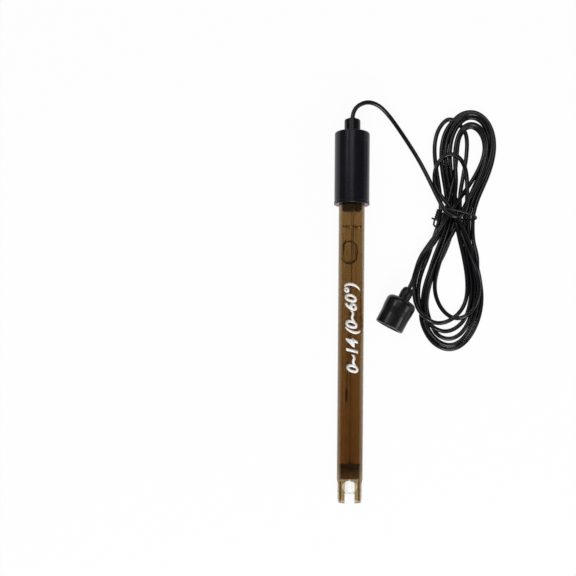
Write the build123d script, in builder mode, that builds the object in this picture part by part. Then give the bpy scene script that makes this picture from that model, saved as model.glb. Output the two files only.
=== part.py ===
from build123d import *

import os
from math import atan, cos, pi, radians, sin, sqrt, tan

# A combination pH electrode lying on a bench, with its thin coaxial lead tied in a hank and its
# bayonet plug. Millimetres. The floor is z = 0, +Y runs along the electrode from the guard's tips
# to the lead's exit, and the origin is on the floor under the electrode's middle.
# A height in a name or comment is measured along the electrode from the guard's tips, and a
# depth is measured along the plug from the end where the lead goes in.

# Body tube with its moulded guard
tube_r = 6.0
tube_wall = 1.1
slot_width = 4.6
slot_depth = 11.0
tip_round = 0.35
# Cap
cap_base = 137.5
cap_length = 33.1
cap_r = 8.1
lip_step = 0.15
lip_height = 1.3
cap_edge = 0.8
cap_roof = 2.2
cavity_r = 5.3
tube_grip = 9.0
spigot_step = 0.3
boss_r = 3.7
boss_height = 6.2
boss_edge = 0.8
grommet_r = 2.1
grommet_depth = 3.0
grommet_stand = 0.6
grommet_round = 0.48
# Glass stem, bulb and what is in them
stem_r = 2.6
stem_wall = 0.8
stem_stand = 3.5
bulb_r = 3.8
bulb_wall = 0.35
bulb_centre = 7.0
bulb_neck = 10.6
neck_round = 0.4
buffer_level = 74.0
wire_r = 0.25
element_r = 0.5
element_round = 0.3
inner_element = (12.0, 19.0)
# Lower seal
seal_plug_length = 4.7
gasket_length = 2.4
wick_r = 0.6
# Reference side: the wire's places are (across, height) and its bends have one radius
stopper_depth = 11.7
stopper_head = 1.5
stopper_round = 0.4
gel_space = 7.2
meniscus = 0.8
bubble = (2.7, 5.4)
bubble_place = (-1.3, 4.3)
bubble_depth = 11.6
reference_front = 3.55
reference_top_x = 0.9
reference_foot = (-1.5, 46.6)
reference_element = 6.1
reference_straight = 2.0
reference_bend = 6.0
# Lead inside the cap
stub_drop = 4.4
core_length = 8.0
core_r = 0.45
core_sleeve_length = 6.0
screen_sleeve_length = 4.0
sleeve_overlap = 3.0
sleeve_wall = 0.3
tail_r = 0.35
tail_bend = 1.5
tail_straight = 2.0
# Lead, hank and tie
cord_r = 1.0
hank_height = 4.6
knot_height = 7.4
tie_r = 0.45
tie_width = 18.0
tie_turn = -14.0
tie_middle = (48.9, 45.4)
# Plug
plug_entry = (26.9, 11.0)
plug_heading = (-0.46, -0.888)
neck_length = 6.0
neck_r = 2.9
neck_grip = 3.6
shell_length = 14.3
shell_r = 7.15
shell_mouth_r = 6.85
shell_shoulder = 2.5
shell_full = 4.9
shell_slim = 8.3
shell_blend = 6.0
shell_wall = 1.1
shell_floor = 0.8
mouth_round = 0.4
ferrule_r = 2.0
ferrule_lap = 1.2
barrel_r = 3.6
barrel_wall = 0.8
groove_depth = 0.5
groove_back = 0.9
flange_r = 4.7
flange_thickness = 1.0
contact_r = 4.05
contact_wall = 0.55
contact_slot = 0.45
contact_chamfer = (0.2, 0.5)
contact_root = 1.2
contact_recess = 1.5
snap_width = 0.6
snap_stand = 0.6
snap_opening = 1.4
ring_bore = 4.9
ring_flange = 1.0
ring_recess = 0.3
bayonet_width = 2.1
bayonet_entry = 3.2
bayonet_turn = 70.0
bayonet_drop = 2.4
bayonet_steps = 7
pocket_extra = 0.12
washer_thickness = 0.4
spring_thickness = 0.2
spring_bow = 0.5
spring_inset = 0.1
float_travel = 0.4
gasket_thickness = 0.8
insulator_stand = 1.0
insulator_flare = 0.6
pin_r = 0.68
pin_recess = 0.7
pin_nose = 0.9
# Clearances between pieces
seat_gap = 0.05
running_gap = 0.08

# Sizes that follow
bore_r = tube_r - tube_wall
spigot_r = tube_r - spigot_step
lip_r = cap_r + lip_step
tube_top = cap_base + tube_grip
cap_top = cap_base + cap_length
boss_top = cap_top + boss_height
cavity_top = cap_top - cap_roof
grommet_top = boss_top + grommet_stand
stem_top = tube_top + stem_stand
stem_bore = stem_r - stem_wall
bulb_bore = bulb_r - bulb_wall
seal_base = slot_depth
gasket_base = seal_base + seal_plug_length + seat_gap
gasket_top = gasket_base + gasket_length
stopper_base = tube_top - stopper_depth
gel_level = stopper_base - gel_space
stub_end = cavity_top - stub_drop
splice_top = stub_end - core_length

# The electrode leans a little, because it rests on the cap's lip and on the tube above its slots.
lean = atan((lip_r - tube_r) / (cap_base - slot_depth))
along = Vector(0, cos(lean), sin(lean))
tip = Vector(0, -boss_top * cos(lean) / 2, tube_r * cos(lean) - slot_depth * sin(lean))
electrode = Plane(origin=tip, x_dir=(1, 0, 0), z_dir=along)
electrode_axis = Axis(tip, along)
# On this plane x is the radius and y is the height.
profile = Plane(origin=tip, x_dir=(1, 0, 0), z_dir=-electrode.y_dir)


def place(x, front, height):
    """A point beside the electrode's axis, with front towards the side that faces up."""
    return electrode.from_local_coords(Vector(x, -front, height))


def corner(sketch, x, y):
    """The corner of a sketch that is nearest to a point on its plane."""
    return sketch.vertices().sort_by_distance((x, y, 0))[0]


def route_radii(points):
    """The largest radius for each corner of a cord's route, as its two runs allow."""
    radii = []
    for before, here, after in zip(points, points[1:], points[2:]):
        first = Vector(*here) - Vector(*before)
        second = Vector(*after) - Vector(*here)
        half_turn = radians(first.get_angle(second)) / 2
        radii.append(0.45 * min(first.length, second.length) / tan(half_turn))
    return radii


# Body tube: one clear amber moulding, cut at its lower end into four guard prongs and turned down
# at its upper end to a spigot that the cap slides over
with BuildPart() as body_tube:
    with BuildSketch(profile) as tube_section:
        with BuildLine():
            Polyline(
                (bore_r, 0),
                (tube_r, 0),
                (tube_r, cap_base - seat_gap),
                (spigot_r, cap_base - seat_gap),
                (spigot_r, tube_top),
                (bore_r, tube_top),
                close=True,
            )
        make_face()
        fillet(tube_section.vertices().group_by(Axis.Y)[0], tip_round)
    revolve(axis=electrode_axis)
    for turn in (0, 90):
        with BuildSketch(profile.rotated((0, turn, 0))):
            SlotOverall(2 * slot_depth, slot_width, rotation=90)
        extrude(amount=tube_r + 1, both=True, mode=Mode.SUBTRACT)
body_tube.part.label = "body_tube"
export_parts = [body_tube.part]

# Cap: a moulded cover with a lip at its mouth and a boss that the lead comes out of
with BuildPart() as cap:
    with BuildSketch(profile) as cap_section:
        with BuildLine():
            Polyline(
                (spigot_r + seat_gap, cap_base),
                (lip_r, cap_base),
                (lip_r, cap_base + lip_height),
                (cap_r, cap_base + lip_height + lip_step),
                (cap_r, cap_top),
                (boss_r, cap_top),
                (boss_r, boss_top),
                (grommet_r, boss_top),
                (grommet_r, boss_top - grommet_depth),
                (cord_r + seat_gap, boss_top - grommet_depth),
                (cord_r + seat_gap, cavity_top),
                (cavity_r, cavity_top),
                (cavity_r, tube_top + seat_gap),
                (spigot_r + seat_gap, tube_top + seat_gap),
                close=True,
            )
        make_face()
        fillet(corner(cap_section, cap_r, cap_top), cap_edge)
        fillet(corner(cap_section, boss_r, boss_top), boss_edge)
        fillet(corner(cap_section, boss_r, cap_top), boss_edge / 2)
        fillet(corner(cap_section, lip_r, cap_base), lip_height / 4)
        fillet(corner(cap_section, lip_r, cap_base + lip_height), lip_height / 4)
    revolve(axis=electrode_axis)
cap.part.label = "cap"
export_parts.append(cap.part)

# Grommet: a soft bush round the lead, seated in the boss and standing a little proud of it
with BuildPart() as cable_grommet:
    with BuildSketch(profile) as grommet_section:
        with BuildLine():
            Polyline(
                (cord_r + seat_gap, boss_top - grommet_depth + seat_gap),
                (grommet_r - seat_gap, boss_top - grommet_depth + seat_gap),
                (grommet_r - seat_gap, grommet_top),
                (cord_r + seat_gap, grommet_top),
                close=True,
            )
        make_face()
        fillet(corner(grommet_section, grommet_r - seat_gap, grommet_top), grommet_round)
    revolve(axis=electrode_axis)
cable_grommet.part.label = "cable_grommet"
export_parts.append(cable_grommet.part)

# Glass stem: the inner tube that carries the bulb
with BuildPart() as glass_stem:
    with BuildSketch(electrode.offset(bulb_neck)):
        Circle(stem_r)
        Circle(stem_bore, mode=Mode.SUBTRACT)
    extrude(amount=stem_top - bulb_neck)
glass_stem.part.label = "glass_stem"
export_parts.append(glass_stem.part)

# Glass bulb: a thin blown ball, melted onto the stem
with BuildPart() as glass_bulb:
    with BuildSketch(profile) as bulb_section:
        outer_rise = sqrt(bulb_r**2 - stem_r**2)
        inner_rise = sqrt(bulb_bore**2 - stem_bore**2)
        with BuildLine():
            ThreePointArc(
                (0, bulb_centre - bulb_r),
                (bulb_r, bulb_centre),
                (stem_r, bulb_centre + outer_rise),
            )
            Polyline(
                (stem_r, bulb_centre + outer_rise),
                (stem_r, bulb_neck),
                (stem_bore, bulb_neck),
                (stem_bore, bulb_centre + inner_rise),
            )
            ThreePointArc(
                (stem_bore, bulb_centre + inner_rise),
                (bulb_bore, bulb_centre),
                (0, bulb_centre - bulb_bore),
            )
            Line((0, bulb_centre - bulb_bore), (0, bulb_centre - bulb_r))
        make_face()
        fillet(corner(bulb_section, stem_r, bulb_centre + outer_rise), neck_round)
    revolve(axis=electrode_axis)
glass_bulb.part.label = "glass_bulb"
export_parts.append(glass_bulb.part)

# Inner buffer: the liquid in the bulb and the stem, round the inner wire
with BuildPart() as inner_buffer:
    with BuildSketch(profile):
        liquid_r = stem_bore - seat_gap
        liquid_ball = bulb_bore - seat_gap
        liquid_rise = sqrt(liquid_ball**2 - liquid_r**2)
        element_clear = element_r + seat_gap
        wire_clear = wire_r + seat_gap
        with BuildLine():
            ThreePointArc(
                (0, bulb_centre - liquid_ball),
                (liquid_ball, bulb_centre),
                (liquid_r, bulb_centre + liquid_rise),
            )
            Polyline(
                (liquid_r, bulb_centre + liquid_rise),
                (liquid_r, buffer_level),
                (wire_clear, buffer_level),
                (wire_clear, inner_element[1] + seat_gap),
                (element_clear, inner_element[1] + seat_gap),
                (element_clear, inner_element[0] - seat_gap),
                (0, inner_element[0] - seat_gap),
                (0, bulb_centre - liquid_ball),
            )
        make_face()
    revolve(axis=electrode_axis)
inner_buffer.part.label = "inner_buffer"
export_parts.append(inner_buffer.part)

# Inner wire: silver, down the middle of the stem to its coated end
with BuildPart() as inner_wire:
    with BuildSketch(electrode.offset(inner_element[1])):
        Circle(wire_r)
    extrude(amount=splice_top - inner_element[1])
inner_wire.part.label = "inner_wire"
export_parts.append(inner_wire.part)

with BuildPart() as inner_element_coat:
    with BuildSketch(electrode.offset(inner_element[0])):
        Circle(element_r)
    extrude(amount=inner_element[1] - inner_element[0])
    fillet(inner_element_coat.edges().filter_by(GeomType.CIRCLE), element_round)
inner_element_coat.part.label = "inner_element"
export_parts.append(inner_element_coat.part)

# Lower seal: a cast plug and a soft gasket between tube and stem, with a porous wick through both
wick_place = (bore_r + stem_r) / 2
wick_spot = (wick_place * cos(radians(45)), wick_place * sin(radians(45)))
with BuildPart() as seal_plug:
    with BuildSketch(electrode.offset(seal_base)):
        Circle(bore_r - seat_gap)
        Circle(stem_r + seat_gap, mode=Mode.SUBTRACT)
        with Locations(wick_spot):
            Circle(wick_r + seat_gap, mode=Mode.SUBTRACT)
    extrude(amount=seal_plug_length)
seal_plug.part.label = "seal_plug"
export_parts.append(seal_plug.part)

with BuildPart() as seal_gasket:
    with BuildSketch(electrode.offset(gasket_base)):
        Circle(bore_r - seat_gap)
        Circle(stem_r + seat_gap, mode=Mode.SUBTRACT)
        with Locations(wick_spot):
            Circle(wick_r + seat_gap, mode=Mode.SUBTRACT)
    extrude(amount=gasket_length)
seal_gasket.part.label = "seal_gasket"
export_parts.append(seal_gasket.part)

with BuildPart() as junction_wick:
    with BuildSketch(electrode.offset(seal_base)):
        with Locations(wick_spot):
            Circle(wick_r)
    extrude(amount=gasket_top - seal_base)
junction_wick.part.label = "junction_wick"
export_parts.append(junction_wick.part)

# Reference wire: straight through the stopper, then leaning across the gel to its coated end
reference_height = reference_foot[1] + reference_element
wire_ends = [
    place(reference_top_x, reference_front, splice_top),
    place(reference_top_x, reference_front, stopper_base - reference_straight),
    place(reference_foot[0], reference_front, reference_height),
]
element_end = place(reference_foot[0], reference_front, reference_foot[1])
with BuildPart() as reference_wire:
    with BuildLine() as wire_path:
        FilletPolyline(*wire_ends, radius=reference_bend)
    with BuildSketch(Plane(origin=wire_path.line @ 0, z_dir=wire_path.line % 0)):
        Circle(wire_r)
    sweep(path=wire_path.line)
reference_wire.part.label = "reference_wire"
export_parts.append(reference_wire.part)

with BuildPart() as reference_coat:
    with BuildSketch(Plane(origin=element_end, z_dir=along)):
        Circle(element_r)
    extrude(amount=reference_element - seat_gap)
    fillet(reference_coat.edges().filter_by(GeomType.CIRCLE), element_round)
reference_coat.part.label = "reference_element"
export_parts.append(reference_coat.part)

# Reference gel: fills the space between tube and stem up to a hollow surface, with one air bubble
with BuildPart() as reference_gel:
    with BuildSketch(profile):
        gel_in = stem_r + seat_gap
        gel_out = bore_r - seat_gap
        with BuildLine():
            Polyline(
                (gel_in, gel_level),
                (gel_in, gasket_top + seat_gap),
                (gel_out, gasket_top + seat_gap),
                (gel_out, gel_level),
            )
            ThreePointArc(
                (gel_out, gel_level),
                ((gel_in + gel_out) / 2, gel_level - meniscus),
                (gel_in, gel_level),
            )
        make_face()
    revolve(axis=electrode_axis)
    bubble_middle = place(*bubble_place, gel_level - bubble_depth)
    with BuildSketch(Plane(origin=bubble_middle, x_dir=(1, 0, 0), z_dir=profile.z_dir)):
        Ellipse(*bubble)
        Rectangle(bubble[0] * 2, bubble[1] * 2, align=(Align.MIN, Align.CENTER), mode=Mode.SUBTRACT)
    revolve(axis=Axis(bubble_middle, -along), mode=Mode.SUBTRACT)
    with BuildLine() as channel_path:
        FilletPolyline(*wire_ends, radius=reference_bend)
    with BuildSketch(Plane(origin=channel_path.line @ 0, z_dir=channel_path.line % 0)):
        Circle(wire_r + seat_gap)
    sweep(path=channel_path.line, mode=Mode.SUBTRACT)
    with BuildSketch(Plane(origin=element_end, z_dir=along).offset(-seat_gap)):
        Circle(element_r + seat_gap)
    extrude(amount=reference_element + 2 * seat_gap, mode=Mode.SUBTRACT)
reference_gel.part.label = "reference_gel"
export_parts.append(reference_gel.part)

# Stopper: a rubber bung in the tube's upper end, with holes for the stem and the reference wire
with BuildPart() as tube_stopper:
    with BuildSketch(profile) as stopper_section:
        with BuildLine():
            Polyline(
                (stem_r + seat_gap, stopper_base),
                (bore_r - seat_gap, stopper_base),
                (bore_r - seat_gap, tube_top + 2 * seat_gap),
                (cavity_r - seat_gap, tube_top + 2 * seat_gap),
                (cavity_r - seat_gap, tube_top + stopper_head),
                (stem_r + seat_gap, tube_top + stopper_head),
                close=True,
            )
        make_face()
        fillet(corner(stopper_section, bore_r - seat_gap, stopper_base), stopper_round)
    revolve(axis=electrode_axis)
    with BuildSketch(electrode.offset(stopper_base - 1)):
        with Locations((reference_top_x, -reference_front)):
            Circle(wire_r + seat_gap)
    extrude(amount=stopper_depth + stopper_head + 2, mode=Mode.SUBTRACT)
tube_stopper.part.label = "tube_stopper"
export_parts.append(tube_stopper.part)

# Lead inside the cap: the jacket's end, its insulated core and its twisted screen
with BuildPart() as cord_stub:
    with BuildSketch(electrode.offset(stub_end)):
        Circle(cord_r)
    extrude(amount=grommet_top - stub_end)
cord_stub.part.label = "cord_stub"
export_parts.append(cord_stub.part)

with BuildPart() as cord_core:
    with BuildSketch(electrode.offset(splice_top)):
        Circle(core_r)
    extrude(amount=stub_end - splice_top)
cord_core.part.label = "cord_core"
export_parts.append(cord_core.part)

with BuildPart() as core_sleeve:
    with BuildSketch(electrode.offset(splice_top - sleeve_overlap)):
        Circle(core_r + seat_gap + sleeve_wall)
        Circle(core_r + seat_gap, mode=Mode.SUBTRACT)
    extrude(amount=core_sleeve_length)
core_sleeve.part.label = "core_sleeve"
export_parts.append(core_sleeve.part)

with BuildPart() as cord_screen:
    with BuildLine() as screen_path:
        FilletPolyline(
            place(reference_top_x / 5, core_r + tail_r + seat_gap, stub_end),
            place(reference_top_x / 4, core_r + tail_r + 4 * seat_gap, stub_end - tail_straight),
            place(reference_top_x, reference_front, splice_top + tail_straight),
            place(reference_top_x, reference_front, splice_top),
            radius=tail_bend,
        )
    with BuildSketch(Plane(origin=screen_path.line @ 0, z_dir=screen_path.line % 0)):
        Circle(tail_r)
    sweep(path=screen_path.line)
cord_screen.part.label = "cord_screen"
export_parts.append(cord_screen.part)

with BuildPart() as screen_sleeve:
    with BuildSketch(electrode.offset(splice_top - sleeve_overlap)):
        with Locations((reference_top_x, -reference_front)):
            Circle(tail_r + seat_gap + sleeve_wall)
            Circle(tail_r + seat_gap, mode=Mode.SUBTRACT)
    extrude(amount=screen_sleeve_length)
screen_sleeve.part.label = "screen_sleeve"
export_parts.append(screen_sleeve.part)

# Plug: its own line and planes. On the section plane x is the radius and y is the depth.
heading = Vector(*plug_heading).normalized()
plug_origin = Vector(plug_entry[0], plug_entry[1], shell_r + seat_gap)
plug = Plane(origin=plug_origin, x_dir=(0, 0, 1), z_dir=heading)
plug_axis = Axis(plug_origin, heading)
plug_section = Plane(origin=plug_origin, x_dir=(0, 0, 1), z_dir=-plug.y_dir)

shell_base = neck_length
shell_end = shell_base + shell_length
shell_back = shell_base + shell_floor
body_base = shell_back + float_travel + seat_gap
snap_base = body_base + groove_back
ring_base = snap_base + snap_width + seat_gap
washer_base = ring_base + ring_flange + seat_gap
spring_base = washer_base + washer_thickness
flange_base = spring_base + spring_thickness + spring_bow + seat_gap
flange_top = flange_base + flange_thickness
contact_end = shell_end - contact_recess
ring_r = shell_mouth_r - shell_wall
ring_end = shell_end - ring_recess
insulator_base = body_base + ferrule_lap
barrel_bore = barrel_r - barrel_wall
shell_eye = neck_r + running_gap
shell_bay = barrel_r + snap_stand + 5 * running_gap

# Strain relief: a moulded barrel over the lead and the plug's ferrule
relief_end = (neck_r * 0.62, 0)
relief_swell = (neck_r * 0.86, neck_length * 0.14)
relief_full = (neck_r, neck_length * 0.45)
with BuildPart() as strain_relief:
    with BuildSketch(plug_section) as relief_section:
        with BuildLine():
            Polyline(
                (cord_r + seat_gap, 0),
                relief_end,
                relief_swell,
                relief_full,
                (neck_r * 0.95, shell_base),
                (ferrule_r + 0.4, body_base - seat_gap),
                (ferrule_r + seat_gap, body_base - seat_gap),
                (ferrule_r + seat_gap, neck_grip),
                (cord_r + seat_gap, neck_grip),
                close=True,
            )
        make_face()
        for point, radius in ((relief_end, 0.5), (relief_swell, 0.9), (relief_full, 4.0)):
            fillet(corner(relief_section, *point), radius)
    revolve(axis=plug_axis)
strain_relief.part.label = "strain_relief"
export_parts.append(strain_relief.part)

with BuildPart() as cord_plug_end:
    with BuildSketch(plug):
        Circle(cord_r)
    extrude(amount=body_base)
cord_plug_end.part.label = "cord_plug_end"
export_parts.append(cord_plug_end.part)

# Plug body: ferrule, barrel with a groove for the snap ring, flange, and a slit outer contact
with BuildPart() as plug_body:
    with BuildSketch(plug_section):
        with BuildLine():
            Polyline(
                (cord_r + seat_gap, neck_grip + seat_gap),
                (ferrule_r, neck_grip + seat_gap),
                (ferrule_r, body_base),
                (barrel_r, body_base),
                (barrel_r, snap_base - seat_gap),
                (barrel_r - groove_depth, snap_base - seat_gap),
                (barrel_r - groove_depth, snap_base + snap_width + seat_gap),
                (barrel_r, snap_base + snap_width + seat_gap),
                (barrel_r, flange_base),
                (flange_r, flange_base),
                (flange_r, flange_top),
                (contact_r, flange_top),
                (contact_r, contact_end - contact_chamfer[1]),
                (contact_r - contact_chamfer[0], contact_end),
                (contact_r - contact_wall, contact_end),
                (contact_r - contact_wall, flange_top),
                (barrel_bore, flange_top),
                (barrel_bore, insulator_base),
                (cord_r + seat_gap, insulator_base),
                close=True,
            )
        make_face()
    revolve(axis=plug_axis)
    for turn in (45, 135):
        with BuildSketch(plug_section.rotated((0, turn, 0))):
            with Locations((0, contact_end)):
                Rectangle(contact_slot, 2 * (contact_end - flange_top - contact_root))
        extrude(amount=contact_r + 1, both=True, mode=Mode.SUBTRACT)
plug_body.part.label = "plug_body"
export_parts.append(plug_body.part)

with BuildPart() as insulator:
    with BuildSketch(plug_section):
        with BuildLine():
            Polyline(
                (pin_r + seat_gap, insulator_base + seat_gap),
                (barrel_bore - seat_gap, insulator_base + seat_gap),
                (barrel_bore - seat_gap, flange_top + insulator_stand),
                (pin_r + seat_gap + insulator_flare, flange_top + insulator_stand),
                (pin_r + seat_gap, flange_top + insulator_stand - insulator_flare),
                close=True,
            )
        make_face()
    revolve(axis=plug_axis)
insulator.part.label = "insulator"
export_parts.append(insulator.part)

with BuildPart() as centre_pin:
    with BuildSketch(plug_section):
        with BuildLine():
            Polyline(
                (0, insulator_base + seat_gap),
                (pin_r, insulator_base + seat_gap),
                (pin_r, contact_end - pin_recess - pin_nose),
                (pin_r * 0.45, contact_end - pin_recess),
                (0, contact_end - pin_recess),
                close=True,
            )
        make_face()
    revolve(axis=plug_axis)
centre_pin.part.label = "centre_pin"
export_parts.append(centre_pin.part)

# Snap ring: a split ring in the body's groove, behind the coupling ring
with BuildPart() as snap_ring:
    with BuildSketch(plug.offset(snap_base)):
        Circle(barrel_r + snap_stand)
        Circle(barrel_r - groove_depth + seat_gap, mode=Mode.SUBTRACT)
        with Locations((barrel_r, 0)):
            Rectangle(barrel_r, snap_opening, mode=Mode.SUBTRACT)
    extrude(amount=snap_width)
snap_ring.part.label = "snap_ring"
export_parts.append(snap_ring.part)

with BuildPart() as thrust_washer:
    with BuildSketch(plug.offset(washer_base)):
        Circle(ring_bore - 2 * running_gap)
        Circle(barrel_r + running_gap, mode=Mode.SUBTRACT)
    extrude(amount=washer_thickness)
thrust_washer.part.label = "thrust_washer"
export_parts.append(thrust_washer.part)

# Spring washer: a ring bowed along one line, so that it stands higher than its sheet is thick
with BuildPart() as spring_washer:
    spring_r = flange_r - spring_inset
    bow_r = (spring_r**2 + spring_bow**2) / (2 * spring_bow)
    with BuildSketch(plug_section):
        with Locations((0, spring_base + bow_r + seat_gap / 2)):
            Circle(bow_r)
            Circle(bow_r - spring_thickness, mode=Mode.SUBTRACT)
        with Locations((0, spring_base + spring_bow + spring_thickness + seat_gap / 2)):
            Rectangle(4 * bow_r, 4 * bow_r, align=(Align.CENTER, Align.MIN), mode=Mode.SUBTRACT)
    extrude(amount=flange_r, both=True)
    with BuildSketch(plug.offset(spring_base)):
        Circle(spring_r)
        Circle(barrel_r + running_gap, mode=Mode.SUBTRACT)
    extrude(amount=2 * (spring_bow + spring_thickness), mode=Mode.INTERSECT)
spring_washer.part.label = "spring_washer"
export_parts.append(spring_washer.part)

with BuildPart() as plug_gasket:
    with BuildSketch(plug.offset(flange_top)):
        Circle(spring_r)
        Circle(contact_r + seat_gap, mode=Mode.SUBTRACT)
    extrude(amount=gasket_thickness)
plug_gasket.part.label = "plug_gasket"
export_parts.append(plug_gasket.part)

# Coupling ring: turns on the body's barrel. Two slots take the socket's studs: each goes in
# straight from the mouth, climbs round the ring on a helix and ends in a round pocket.
with BuildPart() as coupling_ring:
    with BuildSketch(plug_section):
        with BuildLine():
            Polyline(
                (barrel_r + running_gap, ring_base),
                (ring_r, ring_base),
                (ring_r, ring_end),
                (ring_bore, ring_end),
                (ring_bore, ring_base + ring_flange),
                (barrel_r + running_gap, ring_base + ring_flange),
                close=True,
            )
        make_face()
    revolve(axis=plug_axis)
    for side in (0, 180):
        entry = Plane(origin=plug.origin, x_dir=plug.x_dir, z_dir=plug.z_dir).rotated((0, 0, side))
        entry = entry.offset(ring_end)
        with BuildSketch(entry):
            with Locations((ring_r, 0)):
                Rectangle(2 * (ring_r - ring_bore) + 1, bayonet_width)
        extrude(amount=-bayonet_entry, mode=Mode.SUBTRACT)
        for step in range(bayonet_steps + 1):
            share = step / bayonet_steps
            spot = entry.offset(-bayonet_entry - bayonet_drop * share)
            spot = spot.rotated((0, 0, bayonet_turn * share))
            hole = Plane(origin=spot.origin, x_dir=spot.z_dir, z_dir=spot.x_dir)
            with BuildSketch(hole.offset(ring_bore - 0.5)):
                Circle(bayonet_width / 2 + (pocket_extra if step == bayonet_steps else 0))
            extrude(amount=ring_r - ring_bore + 1, mode=Mode.SUBTRACT)
coupling_ring.part.label = "coupling_ring"
export_parts.append(coupling_ring.part)

# Plug shell: the moulded grip over the coupling ring, full at the shoulder and slimmer at the mouth
with BuildPart() as plug_shell:
    with BuildSketch(plug_section) as shell_sketch:
        with BuildLine():
            Polyline(
                (shell_eye, shell_base),
                (shell_r, shell_base),
                (shell_r, shell_base + shell_full),
                (shell_mouth_r, shell_base + shell_slim),
                (shell_mouth_r, shell_end),
                (ring_r + seat_gap, shell_end),
                (ring_r + seat_gap, ring_base - seat_gap),
                (shell_bay, ring_base - seat_gap),
                (shell_bay, shell_back),
                (shell_eye, shell_back),
                close=True,
            )
        make_face()
        fillet(corner(shell_sketch, shell_r, shell_base), shell_shoulder)
        fillet(corner(shell_sketch, shell_r, shell_base + shell_full), shell_blend)
        fillet(corner(shell_sketch, shell_mouth_r, shell_base + shell_slim), shell_blend)
        fillet(corner(shell_sketch, shell_mouth_r, shell_end), mouth_round)
    revolve(axis=plug_axis)
plug_shell.part.label = "plug_shell"
export_parts.append(plug_shell.part)

# Lead: out of the boss, over in a small arch and down to the bench, then straight to the hank
lead_points = [
    tuple(place(0, 0, grommet_top)),
    tuple(place(0, 0, grommet_top + 3.4)),
    (1.6, 95.9, 8.7),
    (6.2, 97.9, 7.8),
    (11.9, 96.7, 5.8),
    (17.0, 92.2, 3.5),
    (21.7, 86.4, 1.8),
    (26.4, 79.7, 1.1),
    (31.2, 72.2, 1.1),
    (35.2, 64.4, 1.9),
    (38.2, 57.6, 3.2),
    (40.6, 52.0, 4.2),
]
tail_points = [
    (33.0, 27.6, 3.0),
    (31.0, 22.8, 3.6),
    (29.7, 18.4, 5.3),
    tuple(plug_origin - heading * 3.2),
    tuple(plug_origin),
]
for name, points in (("cord_lead", lead_points), ("cord_tail", tail_points)):
    radii = route_radii(points)
    print(name, "radii", [round(radius, 1) for radius in radii])
    with BuildPart() as cord:
        with BuildLine() as cord_path:
            FilletPolyline(*points, radius=radii)
        with BuildSketch(Plane(origin=cord_path.line @ 0, z_dir=cord_path.line % 0)):
            Circle(cord_r)
        sweep(path=cord_path.line)
    length = cord_path.wire().length
    print(name, f"{length:.1f} long, volume {cord.part.volume:.1f} of {pi * cord_r**2 * length:.1f}")
    cord.part.label = name
    export_parts.append(cord.part)

# Hank: the outer form of the tied turns, two open loops that meet at the tie. Each oval has its
# middle, its turn in degrees and its two radii.
hank_lobes = (((52.6, 71.5), -9, (15.5, 24.6)), ((45.3, 11.0), 5, (16.2, 29.0)))
hank_holes = (((58.0, 75.5), -18, (3.6, 14.5)), ((45.6, 14.0), 6, (5.6, 17.5)))
knot_middle = (48.8, 45.0)
knot_size = (8.4, 9.5)
with BuildPart() as cord_hank:
    with BuildSketch(Plane.XY.offset(seat_gap)):
        for ovals, mode in ((hank_lobes, Mode.ADD), (hank_holes, Mode.SUBTRACT)):
            for middle, turn, size in ovals:
                with Locations(Location((*middle, 0), (0, 0, turn))):
                    Ellipse(*size, mode=mode)
    extrude(amount=hank_height)
    with BuildSketch(Plane.XY.offset(2 * tie_r + seat_gap)):
        with Locations(knot_middle):
            Ellipse(*knot_size)
    extrude(amount=knot_height - 2 * tie_r)
cord_hank.part.label = "cord_hank"
export_parts.append(cord_hank.part)

# Tie: a plastic-covered wire round the crossing, a loop with straight top and bottom
tie_half = knot_height / 2 + 2 * seat_gap
tie_section = Plane(
    origin=(*tie_middle, tie_half + tie_r + seat_gap),
    x_dir=(cos(radians(tie_turn)), sin(radians(tie_turn)), 0),
    z_dir=(-sin(radians(tie_turn)), cos(radians(tie_turn)), 0),
)
with BuildPart() as twist_tie:
    with BuildLine(tie_section) as tie_path:
        Line((-tie_width / 2 + tie_half, tie_half), (tie_width / 2 - tie_half, tie_half))
        Line((-tie_width / 2 + tie_half, -tie_half), (tie_width / 2 - tie_half, -tie_half))
        ThreePointArc(
            (tie_width / 2 - tie_half, tie_half),
            (tie_width / 2, 0),
            (tie_width / 2 - tie_half, -tie_half),
        )
        ThreePointArc(
            (-tie_width / 2 + tie_half, tie_half),
            (-tie_width / 2, 0),
            (-tie_width / 2 + tie_half, -tie_half),
        )
    with BuildSketch(Plane(origin=tie_path.line @ 0, z_dir=tie_path.line % 0)):
        Circle(tie_r)
    sweep(path=tie_path.line)
twist_tie.part.label = "twist_tie"
export_parts.append(twist_tie.part)

os.makedirs("parts", exist_ok=True)
for part in export_parts:
    export_step(part, f"parts/{part.label}.step")
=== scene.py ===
import math

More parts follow.
